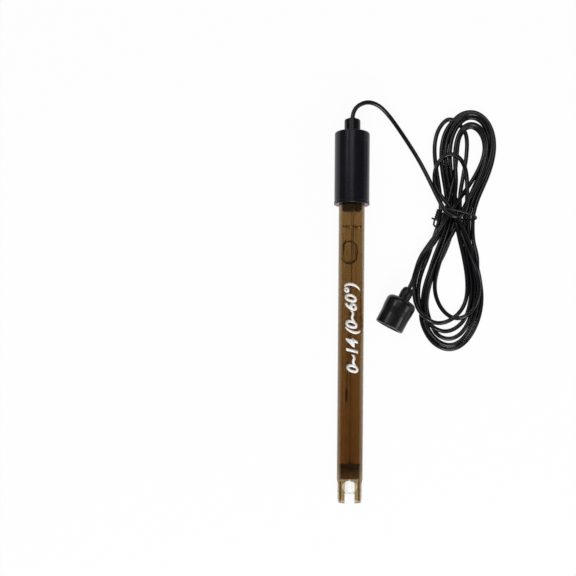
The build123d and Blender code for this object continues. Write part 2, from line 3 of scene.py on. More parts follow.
import bmesh
import bpy
import numpy as np
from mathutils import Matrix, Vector


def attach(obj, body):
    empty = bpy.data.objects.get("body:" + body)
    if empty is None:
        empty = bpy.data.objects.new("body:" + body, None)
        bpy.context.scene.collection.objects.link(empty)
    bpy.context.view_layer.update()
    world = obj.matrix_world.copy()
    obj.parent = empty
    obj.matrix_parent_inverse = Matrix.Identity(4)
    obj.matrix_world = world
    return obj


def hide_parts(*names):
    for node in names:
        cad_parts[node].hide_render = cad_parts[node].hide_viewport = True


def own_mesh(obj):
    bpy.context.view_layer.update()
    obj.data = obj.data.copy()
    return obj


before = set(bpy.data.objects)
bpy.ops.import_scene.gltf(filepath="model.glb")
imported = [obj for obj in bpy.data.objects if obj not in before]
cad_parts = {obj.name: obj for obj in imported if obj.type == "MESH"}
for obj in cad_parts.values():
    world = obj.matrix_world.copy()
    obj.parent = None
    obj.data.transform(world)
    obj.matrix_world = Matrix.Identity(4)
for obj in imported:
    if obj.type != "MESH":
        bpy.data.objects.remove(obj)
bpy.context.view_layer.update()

bl_info = {
    "name": "pH Electrode",
    "version": (1, 0, 0),
    "blender": (4, 5, 0),
    "location": "View3D > Sidebar > Electrode",
    "description": "Dresses a combination pH electrode with its tied lead and bayonet plug",
    "category": "Object",
}

MM = 0.001

# Lengths below are in millimetres, unless a line says otherwise

# The electrode lies on the bench with its cap's lip and its guard touching it
LEAN = math.radians(1.0173)
ALONG = Vector((0, math.cos(LEAN), math.sin(LEAN)))
ACROSS = Vector((1, 0, 0))
FACING = Vector((0, -math.sin(LEAN), math.cos(LEAN)))
TIP = Vector((0, -88.386, 5.804))


def on_electrode(side, front, height):
    """A point beside the electrode's axis, in millimetres: front is the side that faces up."""
    return TIP + ACROSS * side + FACING * front + ALONG * height


TUBE_R = 6.0
# Along the part: where the tube's painted shade sets in above the seal, and how far it and the gel's
# brown reach
PAINTED_SHADE_EDGE = (-78, -73)
PAINTED_SHADE_REACH = (-70, 45)
GEL_REACH = (-66, 30)
# Absorption of the tube's resin, per metre
RESIN_DENSITY = 950.0

# The middle of the air bubble under the tube's upper side, where the gel's painted dark oval goes, and
# the oval's half width and half length
BUBBLE = on_electrode(-1.0, 4.3, 115.2)
BUBBLE_SIZE = (3.55, 5.1)

# The print's start above the tip, its turn in degrees from the side that faces up, and the degrees
# that it climbs round the tube in each millimetre
MARK_START = 59.9
MARK_TURN = 9.0
MARK_SKEW = 0.33
MARK_CUTS = 14
# Height of a numeral in the typeface, as a share of the typeface's size
NUMERAL_TALL = 0.72
INK_GAP = 0.02
INK_THICK = 0.04

PLUG_BACK = Vector((26.9, 11.0, 7.2))
PLUG_WAY = Vector((-0.46, -0.888, 0)).normalized()

# The camera looks straight down on the bench. Its place is in metres, and its lens in millimetres.
CAMERA_PLACE = (0, -0.035, 0.422)
CAMERA_TURN = math.radians(0.45)
CAMERA_LENS, CAMERA_SENSOR = 55.95, 36
CAMERA_SHIFT = (-0.1083, 0.1719)

# The paper glows by this share where it is seen straight, in gloss or through glass
PAPER_GLOW = 0.95
# Strength of the studio's even light, beside the white that the camera sees
STUDIO_LIGHT = 0.14
# Name, shape, place, width, length and watts of each softbox, in metres, all aimed at one point.
# The round one behind gives the cap its bright stripe, and the two at the sides those of the plug.
SOFTBOXES = (
    ("back", "ELLIPSE", (-0.03, 0.50, 0.90), 0.54, 0.54, 1.6),
    ("left", "RECTANGLE", (-0.62, 0.51, 0.90), 0.16, 0.30, 1.1),
    ("right", "RECTANGLE", (1.02, -0.40, 0.62), 0.22, 0.34, 1.6),
    ("front", "RECTANGLE", (0.10, -1.00, 0.80), 0.80, 0.60, 14.0),
)
SOFTBOX_AIM = Vector((0.02, 0.0, 0.0))


def linear(code):
    """A hex colour as written for a screen, turned to the linear values that shaders take."""
    parts = [int(code[i:i + 2], 16) / 255 for i in (1, 3, 5)]
    return tuple(c / 12.92 if c <= 0.04045 else ((c + 0.055) / 1.055) ** 2.4 for c in parts)


def rgba(code):
    """A hex colour or a colour property as a shader colour."""
    return (*(linear(code) if isinstance(code, str) else code), 1.0)


def node(tree, kind, inputs=None, **settings):
    """Adds a node with its settings. An input that is a socket is linked, and a value is set.

    Inputs go by their names, or by their places where several share one name.
    """
    new = tree.nodes.new(kind)
    for name, value in settings.items():
        setattr(new, name, value)
    for name, value in (inputs or {}).items():
        if isinstance(value, bpy.types.NodeSocket):
            tree.links.new(value, new.inputs[name])
        else:
            new.inputs[name].default_value = value
    return new


def new_material(name):
    """An empty material, its node tree and its output's surface socket."""
    made = bpy.data.materials.new(name)
    made.use_nodes = True
    made.node_tree.nodes.clear()
    return made, made.node_tree, node(made.node_tree, "ShaderNodeOutputMaterial").inputs["Surface"]


def dress(made, *names):
    """Gives CAD nodes their material and leaves their meshes as they are."""
    for name in names:
        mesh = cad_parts[name].data
        mesh.materials.clear()
        mesh.materials.append(made)


def mesh_piece(name, mesh, made):
    """A finished mesh as a piece that rides on the electrode."""
    mesh.materials.clear()
    mesh.materials.append(made)
    piece = bpy.data.objects.new(name, mesh)
    bpy.context.scene.collection.objects.link(piece)
    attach(piece, "electrode")
    return piece


# Cord

CORD_D = 2.0
# The lead's free stretch, from its grommet down to the bench and across to the hank
LEAD = [
    (0.0, 88.97, 8.96), (0.2, 91.8, 9.03), (2.5, 95.1, 8.7), (7.1, 97.2, 7.8), (12.4, 96.1, 5.8),
    (17.2, 91.9, 3.5), (21.8, 86.2, 1.8), (26.4, 79.7, 1.1), (31.2, 72.2, 1.1), (35.2, 64.4, 2.2),
    (38.4, 57.0, 4.2), (41.3, 50.4, 6.4),
]
# Over the knot and round under the tie
HOOK = [
    (41.3, 50.4, 6.4), (43.2, 47.1, 7.4), (45.4, 44.9, 8.0), (48.0, 44.1, 8.2), (50.6, 45.0, 7.6),
    (52.6, 47.4, 6.2), (53.6, 50.6, 5.4),
]
# From the hank up into the plug
TAIL = [
    (33.0, 27.6, 3.0), (31.0, 22.8, 3.6), (29.7, 18.4, 5.3), (28.37, 13.84, 7.2), (26.9, 11.0, 7.2),
]
# Each lobe in the order that the cord takes: where it passes the knot, its first side, its far end
# and its second side
LOBES = [
    ((53.6, 50.6, 5.4), (54.0, 64.5, 5.0), (45.8, 75.0, 5.6), (37.9, 62.5, 5.4)),
    ((48.6, 45.4, 5.2), (61.0, 8.6, 1.0), (46.2, -17.1, 1.0), (32.9, 0.0, 1.0)),
    ((45.0, 45.0, 1.0), (41.7, 76.0, 1.0), (56.0, 95.2, 1.0), (66.9, 79.5, 1.0)),
    ((56.8, 45.0, 1.0), (59.8, 9.0, 2.7), (46.4, -15.9, 2.6), (34.3, 1.0, 2.6)),
    ((46.8, 45.0, 2.6), (43.6, 76.0, 1.2), (56.2, 94.1, 2.7), (66.0, 79.8, 2.8)),
    ((54.7, 45.0, 1.0), (58.6, 9.5, 1.0), (45.8, -12.6, 1.0), (35.0, 4.0, 1.0)),
    ((48.8, 45.0, 1.0), (45.5, 76.0, 1.2), (56.4, 93.1, 1.0), (64.9, 80.2, 1.0)),
    ((52.6, 45.0, 1.0), (57.2, 10.5, 2.7), (44.0, -9.2, 1.2), (30.9, 9.0, 2.6)),
    ((41.8, 45.0, 1.0), (38.4, 78.8, 1.0), (46.2, 91.7, 1.0), (54.2, 80.3, 1.0)),
    ((50.4, 45.0, 2.6), (60.2, 10.5, 4.2), (50.6, -3.1, 3.4), (38.6, 14.0, 1.4)),
    ((49.6, 43.0, 3.0), (63.8, 79.0, 3.0), (55.4, 89.4, 2.9), (48.4, 78.0, 2.9)),
    ((48.6, 45.6, 4.4), (55.4, 12.0, 3.2), (40.6, -5.4, 3.4), (29.5, 11.0, 1.2)),
    ((43.2, 44.0, 3.2), (48.9, 77.0, 1.0), (55.4, 88.8, 1.0), (62.9, 78.8, 1.0)),
]
LAST_KNOT = (46.0, 47.0, 6.2)
LEAVE = (38.4, 34.6, 3.2)
TURN_STEP = 1.5
# A quarter of an oval is about this many times as long as the straight way
ROUND_WAY = 1.1

# How the turns settle: in each round they sink, straighten a little and are drawn to their places.
# Points that are more than SAME_TURN apart in the cord's order push each other off where they meet.
SETTLE_ROUNDS = 240
FIND_EVERY = 12
NEAR = 2.5 * CORD_D
SAME_TURN = 4
LAY_GAP = 0.04
SINK = 0.02
STRAIGHTEN = 0.5
KEEP_PLACE = 0.06
# Steps in turn forward and back take out wiggles and hardly shorten the bends
SMOOTHING = (0.5, -0.52)
SMOOTHING_ROUNDS = 24


def hermite(start, start_way, end, end_way, count):
    """Points of a smooth run from start to end, without its last point."""
    shares = np.linspace(0, 1, count, endpoint=False)[:, None]
    s2, s3 = shares**2, shares**3
    return (
        (2 * s3 - 3 * s2 + 1) * start + (s3 - 2 * s2 + shares) * start_way
        + (3 * s2 - 2 * s3) * end + (s3 - s2) * end_way
    )


def quarter(side, far, count, outward):
    """A quarter of an oval from the side of a lobe to its far end, or back, without its last point."""
    angles = np.linspace(0, math.pi / 2, count, endpoint=False)
    if not outward:
        angles = math.pi / 2 - angles
    swing = np.sin(angles) ** 2
    return np.stack([
        far[0] + (side[0] - far[0]) * np.cos(angles),
        side[1] + (far[1] - side[1]) * np.sin(angles),
        side[2] + (far[2] - side[2]) * swing,
    ], axis=1)


def lay_turns():
    """The hank's turns before they settle: lobe after lobe, up from the knot and down below it."""
    lobes = [[np.array(p, float) for p in lobe] for lobe in LOBES]
    knots = [lobe[0] for lobe in lobes] + [np.array(LAST_KNOT, float)]
    leave = np.array(LEAVE, float)
    line = []
    for number, (knot, first, far, second) in enumerate(lobes):
        before = lobes[number - 1][3] if number else np.array(HOOK[-2], float)
        after = knots[number + 1]
        beyond = lobes[number + 1][1] if number + 1 < len(lobes) else leave
        upward = np.array([0, 1.0 if far[1] > knot[1] else -1.0, 0])
        climb = np.linalg.norm(first - knot)
        fall = np.linalg.norm(second - after)
        start_way = first - before
        start_way = start_way / np.linalg.norm(start_way) * climb
        end_way = beyond - second
        end_way = end_way / np.linalg.norm(end_way) * fall
        out_span, back_span = math.dist(first[:2], far[:2]), math.dist(second[:2], far[:2])
        line += [
            hermite(knot, start_way, first, upward * climb, round(climb / TURN_STEP)),
            quarter(first, far, round(out_span * ROUND_WAY / TURN_STEP), True),
            quarter(second, far, round(back_span * ROUND_WAY / TURN_STEP), False),
            hermite(second, -upward * fall, after, end_way, round(fall / TURN_STEP)),
        ]
    way = leave - lobes[-1][3]
    run = np.linalg.norm(leave - knots[-1])
    way = way / np.linalg.norm(way) * run
    line.append(hermite(knots[-1], way, leave, way, round(run / TURN_STEP)))
    line.append(leave[None, :])
    return np.concatenate(line)


def settle(line):
    """Lets the turns come to rest on the bench and on each other, a diameter apart where they meet."""
    home = line.copy()
    count = len(line)
    order = np.arange(count)
    for step in range(SETTLE_ROUNDS):
        if step % FIND_EVERY == 0:
            spread = ((line[:, None] - line[None]) ** 2).sum(-1)
            one, other = np.nonzero((spread < NEAR**2) & (order[None] - order[:, None] > SAME_TURN))
        line[:, 2] -= SINK
        line[1:-1] += STRAIGHTEN * ((line[:-2] + line[2:]) / 2 - line[1:-1])
        line[:, :2] += KEEP_PLACE * (home[:, :2] - line[:, :2])
        gaps = line[one] - line[other]
        far = np.sqrt((gaps**2).sum(-1)) + 1e-9
        short = np.maximum(CORD_D + LAY_GAP - far, 0)
        push = gaps * (short / far / 2)[:, None]
        moves = np.zeros_like(line)
        np.add.at(moves, one, push)
        np.add.at(moves, other, -push)
        meets = np.bincount(one, short > 0, count) + np.bincount(other, short > 0, count)
        line += moves / np.sqrt(np.maximum(meets, 1))[:, None]
        line[:, 2] = np.maximum(line[:, 2], CORD_D / 2 + LAY_GAP / 2)
        line[0], line[-1] = home[0], home[-1]
    for share in SMOOTHING * SMOOTHING_ROUNDS:
        line[1:-1] += share * ((line[:-2] + line[2:]) / 2 - line[1:-1])
    return line


def cord_curve(name, route, diameter):
    """A round cord along a route in millimetres, as one open NURBS spline. Its diameter is in metres."""
    curve = bpy.data.curves.new(name, "CURVE")
    curve.dimensions = "3D"
    spline = curve.splines.new("NURBS")
    spline.points.add(len(route) - 1)
    for point, place in zip(spline.points, route):
        point.co = (*(Vector(place) * MM), 1.0)
    spline.order_u = 3
    spline.use_endpoint_u = True
    curve.resolution_u = 4
    curve.bevel_depth = diameter / 2
    curve.bevel_resolution = 4
    curve.use_fill_caps = True
    return curve


# Materials

def polycarbonate_amber(look):
    """Amber polycarbonate, injection moulded: clear gold at the guard, and tinted darker brown where it
    holds gel, as painted shade for the light that the gel and the stem inside take away.
    """
    made, tree, surface = new_material("polycarbonate_amber_moulded")
    place = node(tree, "ShaderNodeTexCoord").outputs["Object"]
    flow = node(tree, "ShaderNodeMapping", {"Vector": place, "Scale": (1, 0.12, 1)}).outputs[0]
    haze = node(tree, "ShaderNodeTexNoise", {
        "Vector": flow, "Scale": 1 / (3.0 * MM), "Detail": 3,
    }).outputs["Fac"]
    # The painted shade is deepest just above the seal and weakest near the cap
    height = node(tree, "ShaderNodeSeparateXYZ", {"Vector": place}).outputs["Y"]
    above = node(tree, "ShaderNodeMapRange", {
        "Value": height, "From Min": PAINTED_SHADE_EDGE[0] * MM, "From Max": PAINTED_SHADE_EDGE[1] * MM,
        "To Min": 0.0, "To Max": 0.9,
    }).outputs[0]
    shade_fade = node(tree, "ShaderNodeMapRange", {
        "Value": height, "From Min": PAINTED_SHADE_REACH[0] * MM, "From Max": PAINTED_SHADE_REACH[1] * MM,
        "To Min": 1.0, "To Max": 0.54,
    }).outputs[0]
    level = node(tree, "ShaderNodeMath", {0: haze, 1: 0.2, 2: shade_fade}, operation="MULTIPLY_ADD").outputs[0]
    share = node(tree, "ShaderNodeMath", {0: above, 1: level}, operation="MULTIPLY").outputs[0]
    tint = node(tree, "ShaderNodeMix", {
        "Factor": share, "A": rgba("#fbf8f1"), "B": rgba(look.tube_painted_shade),
    }, data_type="RGBA").outputs["Result"]
    rough = node(tree, "ShaderNodeMapRange", {
        "Value": haze, "From Min": 0.3, "From Max": 0.7, "To Min": 0.07, "To Max": 0.12,
    }).outputs[0]
    # Handling has left fine hairline scuffs along the tube
    scuff = node(tree, "ShaderNodeTexNoise", {
        "Vector": flow, "Scale": 1 / (0.5 * MM), "Detail": 2,
    }).outputs["Fac"]
    bump = node(tree, "ShaderNodeBump", {"Height": scuff, "Strength": 0.25, "Distance": 0.02 * MM})
    shade = node(tree, "ShaderNodeBsdfPrincipled", {
        "Base Color": tint, "Roughness": rough, "IOR": 1.58, "Transmission Weight": 1.0,
        "Specular IOR Level": 0.16, "Specular Tint": rgba("#eaddb8"), "Normal": bump.outputs[0],
    })
    tree.links.new(shade.outputs[0], surface)
    # The resin itself is amber: the longer the way through it, the deeper it looks
    depth = node(tree, "ShaderNodeVolumeAbsorption", {
        "Color": rgba(look.tube), "Density": RESIN_DENSITY,
    })
    tree.links.new(depth.outputs[0], surface.node.inputs["Volume"])
    return made


def gel_potassium_chloride():
    """Thickened salt gel: clear near its top and browner towards the seal."""
    made, tree, surface = new_material("gel_potassium_chloride")
    place = node(tree, "ShaderNodeTexCoord").outputs["Object"]
    cloud = node(tree, "ShaderNodeTexNoise", {
        "Vector": place, "Scale": 1 / (6.0 * MM), "Detail": 2,
    }).outputs["Fac"]
    axes = node(tree, "ShaderNodeSeparateXYZ", {"Vector": place}).outputs
    reach = node(tree, "ShaderNodeMapRange", {
        "Value": axes["Y"], "From Min": GEL_REACH[0] * MM, "From Max": GEL_REACH[1] * MM,
        "To Min": 0.0, "To Max": 0.9,
    }).outputs[0]
    share = node(tree, "ShaderNodeMath", {0: cloud, 1: 0.2, 2: reach}, operation="MULTIPLY_ADD")
    tint = node(tree, "ShaderNodeMix", {
        "Factor": share.outputs[0], "A": rgba("#f3ebde"), "B": rgba("#fdfaf4"),
    }, data_type="RGBA").outputs["Result"]
    # Painted shade: a thin dark oval is painted on the gel where the bubble's edge turns the light away,
    # on the side that faces up
    oval = node(tree, "ShaderNodeMapping", {
        "Vector": place, "Location": tuple(BUBBLE * MM), "Rotation": (LEAN, 0, 0),
        "Scale": (BUBBLE_SIZE[0] * MM, BUBBLE_SIZE[1] * MM, 1),
    }, vector_type="TEXTURE").outputs[0]
    flat = node(tree, "ShaderNodeVectorMath", {0: oval, 1: (1, 1, 0)}, operation="MULTIPLY").outputs[0]
    out = node(tree, "ShaderNodeVectorMath", {0: flat}, operation="LENGTH").outputs["Value"]
    off = node(tree, "ShaderNodeMath", {0: out, 1: 1.0}, operation="SUBTRACT").outputs[0]
    far = node(tree, "ShaderNodeMath", {0: off}, operation="ABSOLUTE").outputs[0]
    ring = node(tree, "ShaderNodeMapRange", {
        "Value": far, "From Min": 0.06, "From Max": 0.11, "To Min": 0.95, "To Max": 0.0,
    }).outputs[0]
    front = node(tree, "ShaderNodeMath", {
        0: axes["Z"], 1: TIP.z * MM + 1 * MM,
    }, operation="GREATER_THAN").outputs[0]
    line = node(tree, "ShaderNodeMath", {0: ring, 1: front}, operation="MULTIPLY").outputs[0]
    rim = node(tree, "ShaderNodeMix", {
        "Factor": line, "A": tint, "B": rgba("#2a1804"),
    }, data_type="RGBA").outputs["Result"]
    shade = node(tree, "ShaderNodeBsdfPrincipled", {
        "Base Color": rim, "Roughness": 0.03, "IOR": 1.34, "Transmission Weight": 1.0,
        "Specular IOR Level": 0.1,
    })
    tree.links.new(shade.outputs[0], surface)
    return made


def glass_blown(name, tint):
    """Lamp-blown soda glass: clear and sharp-edged, with the slight waviness of drawn tubing."""
    made, tree, surface = new_material(name)
    place = node(tree, "ShaderNodeTexCoord").outputs["Object"]
    drawn = node(tree, "ShaderNodeMapping", {"Vector": place, "Scale": (1, 0.1, 1)}).outputs[0]
    wave = node(tree, "ShaderNodeTexNoise", {
        "Vector": drawn, "Scale": 1 / (2.0 * MM), "Detail": 1,
    }).outputs["Fac"]
    colour = node(tree, "ShaderNodeMix", {
        "Factor": wave, "A": rgba(tint), "B": rgba("#ffffff"),
    }, data_type="RGBA").outputs["Result"]
    bump = node(tree, "ShaderNodeBump", {"Height": wave, "Strength": 0.2, "Distance": 0.03 * MM})
    shade = node(tree, "ShaderNodeBsdfPrincipled", {
        "Base Color": colour, "Roughness": 0.0, "IOR": 1.52, "Transmission Weight": 1.0,
        "Specular IOR Level": 0.12, "Normal": bump.outputs[0],
    })
    tree.links.new(shade.outputs[0], surface)
    return made


def buffer_liquid():
    """Buffer solution inside the bulb: water-clear, with a faint cloudiness."""
    made, tree, surface = new_material("buffer_solution")
    place = node(tree, "ShaderNodeTexCoord").outputs["Object"]
    cloud = node(tree, "ShaderNodeTexNoise", {
        "Vector": place, "Scale": 1 / (4.0 * MM), "Detail": 1,
    }).outputs["Fac"]
    tint = node(tree, "ShaderNodeMix", {
        "Factor": cloud, "A": rgba("#fdfdfb"), "B": rgba("#ffffff"),
    }, data_type="RGBA").outputs["Result"]
    shade = node(tree, "ShaderNodeBsdfPrincipled", {
        "Base Color": tint, "Roughness": 0.0, "IOR": 1.333, "Transmission Weight": 1.0,
        "Specular IOR Level": 0.08,
    })
    tree.links.new(shade.outputs[0], surface)
    return made


def moulded(name, dark, light, rough, grain_mm, depth_mm, shine=0.5, sheen="#ffffff"):
    """A moulded plastic or rubber: a fine even grain with broad, faint changes of tone and gloss."""
    made, tree, surface = new_material(name)
    place = node(tree, "ShaderNodeTexCoord").outputs["Object"]
    tone = node(tree, "ShaderNodeTexNoise", {
        "Vector": place, "Scale": 1 / (9.0 * MM), "Detail": 3,
    }).outputs["Fac"]
    grain = node(tree, "ShaderNodeTexNoise", {
        "Vector": place, "Scale": 1 / (grain_mm * MM), "Detail": 2,
    }).outputs["Fac"]
    colour = node(tree, "ShaderNodeMix", {
        "Factor": tone, "A": rgba(dark), "B": rgba(light),
    }, data_type="RGBA").outputs["Result"]
    both = node(tree, "ShaderNodeMath", {0: tone, 1: grain}, operation="ADD").outputs[0]
    gloss = node(tree, "ShaderNodeMapRange", {
        "Value": both, "From Min": 0.6, "From Max": 1.4, "To Min": rough - 0.04, "To Max": rough + 0.04,
    }).outputs[0]
    bump = node(tree, "ShaderNodeBump", {"Height": grain, "Strength": 0.5, "Distance": depth_mm * MM})
    shade = node(tree, "ShaderNodeBsdfPrincipled", {
        "Base Color": colour, "Roughness": gloss, "Normal": bump.outputs[0],
        "Specular IOR Level": shine, "Specular Tint": rgba(sheen),
    })
    tree.links.new(shade.outputs[0], surface)
    return made


def vinyl_cord(look):
    """Soft vinyl jacket, extruded: satin black with a slight matt bloom that handling rubs off."""
    made, tree, surface = new_material("vinyl_jacket_extruded")
    place = node(tree, "ShaderNodeTexCoord").outputs["Object"]
    bloom = node(tree, "ShaderNodeTexNoise", {
        "Vector": place, "Scale": 1 / (5.0 * MM), "Detail": 4,
    }).outputs["Fac"]
    skin = node(tree, "ShaderNodeTexNoise", {
        "Vector": place, "Scale": 1 / (0.35 * MM), "Detail": 1,
    }).outputs["Fac"]
    colour = node(tree, "ShaderNodeMix", {
        "Factor": bloom, "A": rgba(look.cord), "B": rgba("#0d0e11"),
    }, data_type="RGBA").outputs["Result"]
    gloss = node(tree, "ShaderNodeMapRange", {
        "Value": bloom, "From Min": 0.3, "From Max": 0.7, "To Min": 0.2, "To Max": 0.28,
    }).outputs[0]
    bump = node(tree, "ShaderNodeBump", {"Height": skin, "Strength": 0.2, "Distance": 0.006 * MM})
    shade = node(tree, "ShaderNodeBsdfPrincipled", {
        "Base Color": colour, "Roughness": gloss, "Normal": bump.outputs[0], "IOR": 1.53,
        "Specular IOR Level": 0.37,
    })
    tree.links.new(shade.outputs[0], surface)
    return made


def metal(name, light, dark, rough, origin, way, line_mm, rings=True):
    """A metal with the marks of its making: rings round the axis if turned, lines along it if drawn."""
    made, tree, surface = new_material(name)
    place = node(tree, "ShaderNodeTexCoord").outputs["Object"]
    turn = way.to_track_quat("Z", "Y").to_euler()
    local = node(tree, "ShaderNodeMapping", {
        "Vector": place, "Location": tuple(origin * MM), "Rotation": tuple(turn),
    }, vector_type="TEXTURE").outputs[0]
    squeeze = (0.05, 0.05, 1) if rings else (1, 1, 0.05)
    marks = node(tree, "ShaderNodeMapping", {"Vector": local, "Scale": squeeze}).outputs[0]
    lines = node(tree, "ShaderNodeTexNoise", {
        "Vector": marks, "Scale": 1 / (line_mm * MM), "Detail": 2,
    }).outputs["Fac"]
    tone = node(tree, "ShaderNodeMix", {
        "Factor": lines, "A": rgba(dark), "B": rgba(light),
    }, data_type="RGBA").outputs["Result"]
    gloss = node(tree, "ShaderNodeMapRange", {
        "Value": lines, "From Min": 0.3, "From Max": 0.7, "To Min": rough - 0.05, "To Max": rough + 0.08,
    }).outputs[0]
    bump = node(tree, "ShaderNodeBump", {"Height": lines, "Strength": 0.35, "Distance": 0.01 * MM})
    shade = node(tree, "ShaderNodeBsdfPrincipled", {
        "Base Color": tone, "Metallic": 1.0, "Roughness": gloss, "Normal": bump.outputs[0],
    })
    tree.links.new(shade.outputs[0], surface)
    return made


def mottled(name, dark, light, rough, spot_mm, depth_mm):
    """A chalky or cast surface: spots and pores of two tones with a matt finish."""
    made, tree, surface = new_material(name)
    place = node(tree, "ShaderNodeTexCoord").outputs["Object"]
    spots = node(tree, "ShaderNodeTexVoronoi", {
        "Vector": place, "Scale": 1 / (spot_mm * MM),
    }).outputs["Distance"]
    cloud = node(tree, "ShaderNodeTexNoise", {
        "Vector": place, "Scale": 1 / (spot_mm * 3 * MM), "Detail": 3,
    }).outputs["Fac"]
    both = node(tree, "ShaderNodeMath", {0: spots, 1: cloud}, operation="MULTIPLY").outputs[0]
    tone = node(tree, "ShaderNodeMix", {
        "Factor": both, "A": rgba(dark), "B": rgba(light),
    }, data_type="RGBA").outputs["Result"]
    bump = node(tree, "ShaderNodeBump", {"Height": spots, "Strength": 0.5, "Distance": depth_mm * MM})
    shade = node(tree, "ShaderNodeBsdfPrincipled", {
        "Base Color": tone, "Roughness": rough, "Normal": bump.outputs[0],
    })
    tree.links.new(shade.outputs[0], surface)
    return made


# Properties

def colour_property(name, description, code):
    """A colour that the user can change, with its default as a hex colour."""
    return bpy.props.FloatVectorProperty(
        name=name, description=description, subtype="COLOR", size=3, min=0, max=1,
        default=linear(code),
    )


def length_property(name, description, length_mm):
    """A length that the user can change, with its default in millimetres."""
    return bpy.props.FloatProperty(
        name=name, description=description, default=length_mm * MM, unit="LENGTH",
        subtype="DISTANCE",
    )


class ElectrodeLook(bpy.types.PropertyGroup):
    """The colours and sizes that a user would change."""

    tube: colour_property("Tube", "Light that the tube's amber resin lets through", "#c2a956")
    # Painted shade: the darker brown that the tube shows where it holds gel
    tube_painted_shade: colour_property("Tube stain", "Brown that the gel has left on the tube", "#c1a376")
    cap: colour_property("Cap", "Tone of the black cap", "#0a0a10")
    cord: colour_property("Cord", "Tone of the cord's jacket", "#07080a")
    grip: colour_property("Plug grip", "Tone of the plug's moulded grip", "#09090b")
    ink: colour_property("Ink", "Tone of the printed range mark", "#f6f3ee")
    floor: colour_property("Floor", "Tone of the floor", "#fafafa")
    cord_diameter: length_property("Cord diameter", "Diameter of the lead", CORD_D)
    tie_diameter: length_property("Tie diameter", "Diameter of the tie's covered wire", 0.9)
    mark_height: length_property("Mark height", "Height of the numerals round the tube", 5.4)
    mark_length: length_property("Mark length", "Length of the range mark along the tube", 41.2)


# Operators

class ELECTRODE_OT_stage(bpy.types.Operator):
    """Sets the camera over the bench, the pale floor and the soft lamps"""

    bl_idname = "electrode.stage"
    bl_label = "Stage and camera"

    def execute(self, context):
        look = context.scene.electrode_look
        eye = bpy.data.cameras.new("camera")
        eye.lens, eye.sensor_width = CAMERA_LENS, CAMERA_SENSOR
        eye.shift_x, eye.shift_y = CAMERA_SHIFT
        eye.clip_start = 0.01
        camera = bpy.data.objects.new("camera", eye)
        camera.location = CAMERA_PLACE
        camera.rotation_euler = (0, 0, CAMERA_TURN)
        context.scene.collection.objects.link(camera)
        context.scene.camera = camera

        # A white seamless sheet: it looks white to the eye, and still takes a faint shadow
        made, tree, surface = new_material("seamless_paper")
        rays = node(tree, "ShaderNodeLightPath").outputs
        straight = node(tree, "ShaderNodeMath", {
            0: rays["Is Camera Ray"], 1: rays["Is Glossy Ray"],
        }, operation="MAXIMUM").outputs[0]
        seen = node(tree, "ShaderNodeMath", {
            0: straight, 1: rays["Is Transmission Ray"],
        }, operation="MAXIMUM").outputs[0]
        share = node(tree, "ShaderNodeMath", {0: seen, 1: PAPER_GLOW}, operation="MULTIPLY")
        paper = node(tree, "ShaderNodeBsdfDiffuse", {"Color": rgba(look.floor)})
        glow = node(tree, "ShaderNodeEmission", {"Color": (1, 1, 1, 1), "Strength": 1.0})
        mixed = node(tree, "ShaderNodeMixShader", {
            0: share.outputs[0], 1: paper.outputs[0], 2: glow.outputs[0],
        })
        tree.links.new(mixed.outputs[0], surface)
        sheet = bmesh.new()
        bmesh.ops.create_grid(sheet, x_segments=1, y_segments=1, size=2.0)
        mesh = bpy.data.meshes.new("floor")
        sheet.to_mesh(mesh)
        sheet.free()
        mesh.materials.append(made)
        floor = bpy.data.objects.new("floor", mesh)
        context.scene.collection.objects.link(floor)

        world = bpy.data.worlds.new("studio")
        world.use_nodes = True
        sky = world.node_tree
        sky.nodes.clear()
        rays = node(sky, "ShaderNodeLightPath").outputs
        seen = node(sky, "ShaderNodeMath", {
            0: rays["Is Camera Ray"], 1: rays["Is Transmission Ray"],
        }, operation="MAXIMUM").outputs[0]
        level = node(sky, "ShaderNodeMapRange", {
            "Value": seen, "To Min": STUDIO_LIGHT, "To Max": 1.0,
        }).outputs[0]
        air = node(sky, "ShaderNodeBackground", {"Color": (1, 1, 1, 1), "Strength": level})
        end = node(sky, "ShaderNodeOutputWorld")
        sky.links.new(air.outputs[0], end.inputs["Surface"])
        context.scene.world = world

        for name, shape, place, width, length, watts in SOFTBOXES:
            lamp = bpy.data.lights.new(name, "AREA")
            lamp.shape, lamp.size, lamp.size_y, lamp.energy = shape, width, length, watts
            box = bpy.data.objects.new(name, lamp)
            box.location = place
            box.rotation_euler = (SOFTBOX_AIM - Vector(place)).to_track_quat("-Z", "Y").to_euler()
            box.visible_camera = False
            context.scene.collection.objects.link(box)
        return {"FINISHED"}


class ELECTRODE_OT_spring(bpy.types.Operator):
    """Puts the bowed washer behind the plug's flange, which flattens it as the coupling is pushed on"""

    bl_idname = "electrode.spring"
    bl_label = "Spring washer"

    def execute(self, context):
        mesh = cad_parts["spring_washer"].data.copy()
        bm = bmesh.new()
        bm.from_mesh(mesh)
        bmesh.ops.remove_doubles(bm, verts=bm.verts, dist=0.001 * MM)
        bm.to_mesh(mesh)
        bm.free()
        # Stamped spring steel is grey and half bright, with faint changes of tone
        made = metal("spring_steel_stamped", "#b4b4b8", "#77777c", 0.32, PLUG_BACK, PLUG_WAY, 0.2)
        dress(made, "snap_ring")
        washer = mesh_piece("bowed_washer", mesh, made)
        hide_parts("spring_washer")
        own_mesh(washer)
        return {"FINISHED"}


